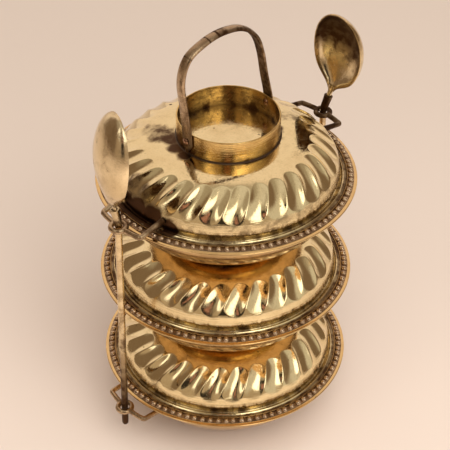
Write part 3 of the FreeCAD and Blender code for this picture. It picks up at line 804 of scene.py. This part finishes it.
def bracket_eye(wire_darkness):
    """Mesh of an eye, darker on its inside."""
    steps = 48
    turn = np.linspace(0, 2 * np.pi, steps, endpoint=False)
    ring = np.stack([EYE_REACH + EYE_RADIUS * np.cos(turn), EYE_RADIUS * np.sin(turn), 0 * turn], axis=1)
    grid = sweep(ring, round_section(WIRE), closed=True)
    around_wire = np.linspace(0, 2 * np.pi, grid.shape[1], endpoint=False)
    inside = smooth_step(0.0, -1.0, np.cos(around_wire))[None, :]
    dirt_and_painted_light = np.repeat(wire_darkness + 0.35 * inside, steps, axis=0)
    return grid_mesh("eye", grid, {"dirt_and_painted_light": dirt_and_painted_light}, wrap_rows=True)


def make_bracket(name, body, turn, height, rise, wire_darkness, materials):
    """Bent wire bracket: two legs and an eye, made along +X and turned to its place."""
    meshes = [bracket_leg(side, rise, wire_darkness) for side in (-1, 1)] + [bracket_eye(wire_darkness)]
    mesh = joined(meshes, name + "_mesh")
    lift = Matrix.Translation(Vector((0, 0, height)) * MM)
    mesh.transform(lift @ Matrix.Rotation(math.radians(turn), 4, "Z"))
    piece = add_piece(mesh, name + "_wire", materials["bracket"], sharp=60.0)
    settle(piece, body, "bracket_bronze", name)


def make_brackets(materials):
    """The four brackets."""
    top = BEAD_PLANES["top"] + TOP_BRACKET_Z
    low = BEAD_PLANES["bottom"] + BOTTOM_BRACKET_Z
    for name, spoon in SPOONS.items():
        side, wire_darkness = spoon["side"], spoon["bracket_darkness"]
        turn = side + LID_TURN
        make_bracket("top_bracket_" + name, "top_lid", turn, top, TOP_BRACKET_RISE, wire_darkness, materials)
        make_bracket("bottom_bracket_" + name, "bottom_bowl", side, low, 0.0, wire_darkness, materials)


# ---- spoons ----------------------------------------------------------------------------------------------
def joint(name):
    """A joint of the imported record."""
    return next(j for j in frame["joints"] if j["name"] == name)


def head_matrix(name):
    """Matrix of a spoon's socket in millimetres: local Z up the socket, local X out of the bowl's back."""
    spoon = SPOONS[name]
    shoulder = Vector(joint(name + "_spoon_turn")["pos_m"]) / MM
    outward = Matrix.Rotation(math.radians(spoon["side"] + LID_TURN + spoon["turn"]), 4, "Z")
    sideways = Matrix.Rotation(math.radians(spoon["sideways"]), 4, "X")
    lean = Matrix.Rotation(math.radians(spoon["lean"]), 4, "Y")
    return Matrix.Translation(shoulder) @ outward @ sideways @ lean


def bowl_matrix(name):
    """Matrix of a spoon's bowl in millimetres, from its lower end."""
    spoon = SPOONS[name]
    bend = Matrix.Rotation(math.radians(-spoon["bend"]), 4, "Y")
    return head_matrix(name) @ Matrix.Translation((0, 0, spoon["bowl_start"])) @ bend


def moved(points, matrix):
    """An array of points in millimetres, carried by a matrix."""
    turn = np.array(matrix.to_3x3())
    return points @ turn.T + np.array(matrix.translation)


def spoon_outline(share):
    """Half width of the bowl at this share of its length, widest past the middle, drawn in to the neck."""
    near, far = SPOON_FULLNESS
    widest = near / (near + far)
    full = (1 - widest) ** far * widest ** near
    body = BOWL_WIDTH / 2 * (1 - share) ** far * share ** near / full
    body = body * (1 - 0.62 * np.exp(-(share / 0.13) ** 2))
    neck = 2.6 * smooth_step(0.26, 0.04, share)
    return np.hypot(body, neck)


def spoon_depth(share):
    """Depth of the bowl's back at this share of its length; the neck end is nearly flat."""
    inner = np.clip((share - 0.03) / 0.97, 0, 1)
    return BOWL_HOLLOW * np.sin(np.pi * (1 - inner) ** 0.92) ** 0.62 + 0.9 * smooth_step(0.2, 0.0, share)


def spoon_grid(inset):
    """One face of the bowl, set in from the outer one, as rows up the bowl and columns from rim to rim."""
    share = 0.5 - 0.5 * np.cos(np.linspace(0.0, np.pi, 56))
    half = np.maximum(spoon_outline(share) - inset, 0.0)
    deep = np.maximum(spoon_depth(share) - inset, 0.0)
    turn = np.radians(np.linspace(0, 180, SPOON_COLUMNS))
    y = half[:, None] * np.cos(turn)
    x = deep[:, None] * np.sin(turn) ** 0.9
    z = np.repeat((share * (BOWL_LENGTH - inset))[:, None], SPOON_COLUMNS, axis=1)
    return np.stack([x, y, z], axis=-1)


def neck_section(share):
    """Cross-section of the neck: round in the socket and flat where it runs into the bowl."""
    angle = np.linspace(0, 2 * np.pi, 20, endpoint=False)
    flat = smooth_step(0.25, 0.85, share)
    return np.stack([np.cos(angle) * (1.7 + 0.8 * flat), np.sin(angle) * (1.7 - 0.9 * flat)], axis=1)


def spoon_skin(name):
    """Mesh of a spoon's hollow bowl, with painted shade inside that deepens towards its tip."""
    outer = spoon_grid(0.0)
    inner = spoon_grid(SPOON_WALL)[:, ::-1]
    grid = np.concatenate([outer, inner], axis=1)
    share = np.linspace(0, 1, grid.shape[0])[:, None]
    dirt_and_painted_light = np.repeat(0.12 + 0.25 * smooth_step(0.35, 0.15, share), grid.shape[1], axis=1)
    # Inside the bowl: painted shade, deeper towards the tip.
    dirt_and_painted_light[:, SPOON_COLUMNS:] = 0.08 + 0.82 * smooth_step(0.28, 0.58, share)
    return grid_mesh("spoon", moved(grid, bowl_matrix(name)), {"dirt_and_painted_light": dirt_and_painted_light})


def spoon_neck(name):
    """Mesh of the neck between a spoon's socket and its bowl."""
    head = head_matrix(name)
    low = head @ Vector((0, 0, SOCKET_LENGTH - 3))
    mid = head @ Vector((0, 0, SPOONS[name]["bowl_start"] - 1.0))
    high = bowl_matrix(name) @ Vector((0.4, 0, 4.0))
    across = head.to_3x3() @ Vector((0, 1, 0))
    grid = sweep(curve_through([low, mid, high], 8), neck_section, side=across)
    mesh = grid_mesh("neck", grid, {"dirt_and_painted_light": np.full(grid.shape[:2], 0.35)})
    cap_ends(mesh)
    return mesh


def make_spoon_bowl(name, materials):
    """A spoon's bowl and its neck."""
    mesh = joined([spoon_skin(name), spoon_neck(name)], name + "_spoon_mesh")
    piece = add_piece(mesh, name + "_spoon_skin", materials["spoon"], sharp=55.0)
    settle(piece, name + "_spoon", "spoon_brass", name + "_spoon_bowl")


def make_socket(name, materials):
    """Tapered socket with a turned edge at its top and a dark seam round it."""
    segments = 40
    seam = 3.4
    outside = [
        (0.0, 0.35), (2.2, 0.35), (2.5, 0.6), (2.62, seam - 0.2), (2.68, seam), (2.62, seam + 0.2),
        (2.9, 10.8), (3.0, 11.2), (3.0, 11.8), (2.75, SOCKET_LENGTH),
    ]
    inside = [(1.9, SOCKET_LENGTH), (1.9, 8.0), (0.0, 8.0)]
    profile = chain(outside, inside)
    grid = spin(profile, segments)
    darkness = SPOONS[name]["socket_darkness"] + 0.5 * np.exp(-((profile[:, 1:] - seam) / 0.3) ** 2)
    dirt_and_painted_light = np.repeat(darkness, segments, axis=1)
    mesh = grid_mesh(name + "_socket_mesh", moved(grid, head_matrix(name)), {"dirt_and_painted_light": dirt_and_painted_light})
    piece = add_piece(mesh, name + "_socket_sleeve", materials["socket"])
    settle(piece, name + "_spoon", "socket_brass", name + "_socket")


def make_rod(name, materials):
    """Round locking rod with a blunt tip, darker towards its lower end."""
    turning = joint(name + "_spoon_turn")
    shoulder = np.array(turning["pos_m"]) / MM
    up = np.array(turning["axis"])
    tip = (shoulder[2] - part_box(name + "_rod")[0].z / MM) / up[2] - 0.05
    heights = np.concatenate([[-tip, -tip + 0.1, -tip + 1.2], np.linspace(-tip + 3, -0.2, 60), [0.0]])
    radii = np.full(len(heights), ROD_RADIUS)
    radii[:3] = (1.2, 1.5, 2.1)
    line = [shoulder + up * height for height in heights]
    section = round_section(lambda share: radii[round(share * (len(radii) - 1))], sides=24)
    grid = sweep(line, section, side=(0, 1, 0))
    darkness = 0.2 + 0.75 * smooth_step(-tip + 130, -tip + 5, heights)
    dirt_and_painted_light = np.repeat(darkness[:, None], grid.shape[1], axis=1)
    mesh = grid_mesh(name + "_rod_mesh", grid, {"dirt_and_painted_light": dirt_and_painted_light})
    cap_ends(mesh)
    piece = add_piece(mesh, name + "_rod_bar", materials["rod"], sharp=60.0)
    settle(piece, name + "_rod", "rod_brass", name + "_rod")


# ---- CAD nodes that stay ---------------------------------------------------------------------------------
def dress(name, material):
    """A CAD node that keeps its shape gets its finish."""
    data = frame["nodes"][name].data
    data.materials.clear()
    data.materials.append(material)


# ---- stage -----------------------------------------------------------------------------------------------
def make_floor():
    """Plain pale floor."""
    half = 4.0
    corners = [(-half, -half, 0), (half, -half, 0), (half, half, 0), (-half, half, 0)]
    mesh = bpy.data.meshes.new("floor_mesh")
    mesh.from_pydata(corners, [], [(0, 1, 2, 3)])
    floor = bpy.data.objects.new("floor", mesh)
    bpy.context.scene.collection.objects.link(floor)
    material = bpy.data.materials.new("floor_paint")
    material.use_nodes = True
    shader = material.node_tree.nodes["Principled BSDF"]
    shader.inputs["Base Color"].default_value = (0.74, 0.645, 0.575, 1.0)
    shader.inputs["Roughness"].default_value = 0.8
    mesh.materials.append(material)


def make_lamps():
    """Soft lamps that light the floor and don't show as mirror images in the metal."""
    for place, width, power in LAMPS:
        lamp = bpy.data.lights.new("soft_lamp", "AREA")
        lamp.size = width
        lamp.energy = power
        lamp.color = (1.0, 0.95, 0.91)
        holder = bpy.data.objects.new("soft_lamp", lamp)
        bpy.context.scene.collection.objects.link(holder)
        holder.location = place
        holder.rotation_euler = holder.location.to_track_quat("Z", "Y").to_euler()
        holder.visible_glossy = False


def stretch_mask(tree, value, low, high, soft):
    """1 between two values and 0 outside them, with soft ends."""
    rising = ranged(tree, value, low - soft, low + soft, 0.0, 1.0)
    falling = ranged(tree, value, high - soft, high + soft, 1.0, 0.0)
    return maths(tree, "MULTIPLY", rising, falling)


def make_world():
    """Room round the carrier: pale wall behind, dim sides, two soft windows, a dark figure between them."""
    world = bpy.data.worlds.new("room")
    bpy.context.scene.world = world
    world.use_nodes = True
    tree = world.node_tree
    way = node(tree, "TexCoord").outputs["Generated"]
    turn = (0, 0, math.radians(ROOM_TURN))
    turned = node(tree, "Mapping", {"Vector": way, "Rotation": turn}).outputs["Vector"]
    parts = node(tree, "SeparateXYZ", {0: turned})
    around = maths(tree, "ARCTAN2", parts.outputs["Y"], parts.outputs["X"])
    around = maths(tree, "MULTIPLY", around, math.degrees(1))
    up = maths(tree, "ARCSINE", parts.outputs["Z"])
    up = maths(tree, "MULTIPLY", up, math.degrees(1))
    colour = SIDE_COLOUR
    for patch in ROOM:
        mask = stretch_mask(tree, up, *patch["up"], patch["soft"])
        if "around" in patch:
            mask = maths(tree, "MULTIPLY", mask, stretch_mask(tree, around, *patch["around"], patch["soft"]))
        if "beyond" in patch:
            start, soft = patch["beyond"], patch["soft"]
            far = ranged(tree, maths(tree, "ABSOLUTE", around), start - soft, start + soft, 0.0, 1.0)
            mask = maths(tree, "MULTIPLY", mask, far)
        colour = mixed(tree, mask, colour, patch["colour"])
    tree.links.new(colour, tree.nodes["Background"].inputs["Color"])
    tree.nodes["Background"].inputs["Strength"].default_value = 1.0


def make_camera():
    """Camera that looks down on the carrier from the front left."""
    data = bpy.data.cameras.new("camera")
    data.lens = CAMERA_LENS
    data.sensor_width = 36.0
    data.clip_start = 0.05
    camera = bpy.data.objects.new("camera", data)
    bpy.context.scene.collection.objects.link(camera)
    look = (CAMERA_TARGET - CAMERA_PLACE).to_track_quat("-Z", "Y").to_matrix().to_4x4()
    tilt = Matrix.Rotation(math.radians(CAMERA_TILT), 4, "X")
    pan = Matrix.Rotation(math.radians(CAMERA_PAN), 4, "Y")
    roll = Matrix.Rotation(math.radians(CAMERA_ROLL), 4, "Z")
    camera.matrix_world = Matrix.Translation(CAMERA_PLACE) @ look @ tilt @ pan @ roll
    bpy.context.scene.camera = camera


def make_carrier():
    """All pieces of the carrier."""
    materials = make_materials()
    for tier in TIERS:
        make_bowl(tier, materials)
        make_beads(tier, materials)
        make_lid(tier, materials)
        dress(tier + "_foot_ring", materials["bowl"])
    for tier in TIERS[:2]:
        dress(tier + "_seat_ring", materials["lid"])
    make_collar(materials)
    make_handle(materials)
    dress("collar_solder", materials["solder"])
    dress("handle_rivet_left", materials["copper"])
    dress("handle_rivet_right", materials["copper"])
    make_brackets(materials)
    for name in SPOONS:
        make_rod(name, materials)
        make_socket(name, materials)
        make_spoon_bowl(name, materials)


make_camera()
make_world()
make_floor()
make_lamps()
bpy.context.scene.view_settings.view_transform = "Standard"
make_carrier()
